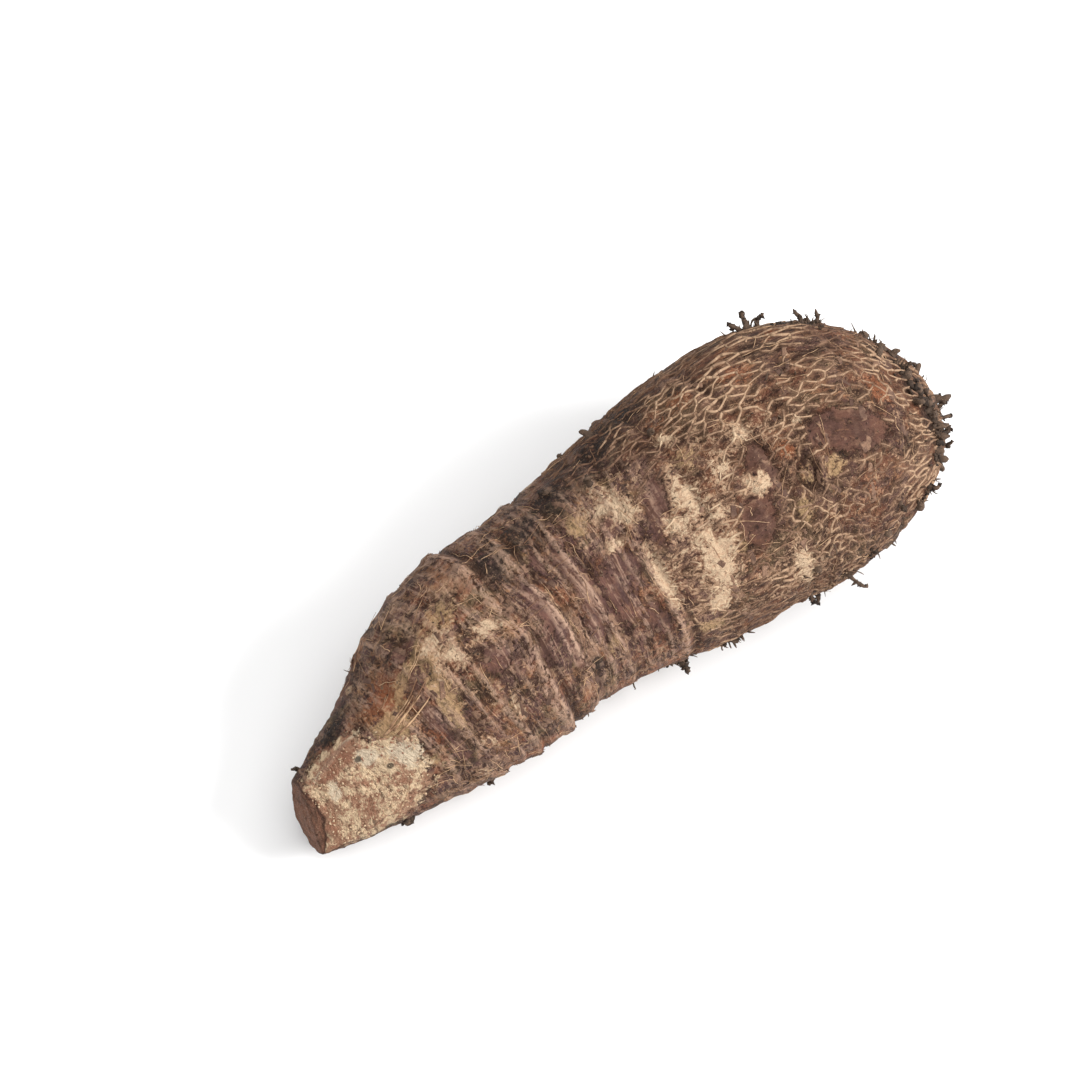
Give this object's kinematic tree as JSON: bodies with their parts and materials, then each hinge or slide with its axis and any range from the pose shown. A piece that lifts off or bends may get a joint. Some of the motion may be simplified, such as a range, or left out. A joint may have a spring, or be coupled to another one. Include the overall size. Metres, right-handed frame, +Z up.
{
  "type": "cush-cush yam",
  "caption": "Club-shaped root tuber lying on its side, with ring scars, sunken eyes, a cork net on the fat crown end, wiry rootlets and a snapped-off thin tip.",
  "frame": {"origin": "on the surface that the tuber rests on, under the middle of its bounding box", "axes": "+X from the snapped tip to the fat crown end, +Z up, +Y to the far side"},
  "size_m": [0.1939, 0.0747, 0.0686],
  "materials": {
    "bark": "dry corky brown skin with pale cork net and earthy patches"
  },
  "bodies": {
    "root": {"tuber": "bark"}
  },
  "joints": []
}
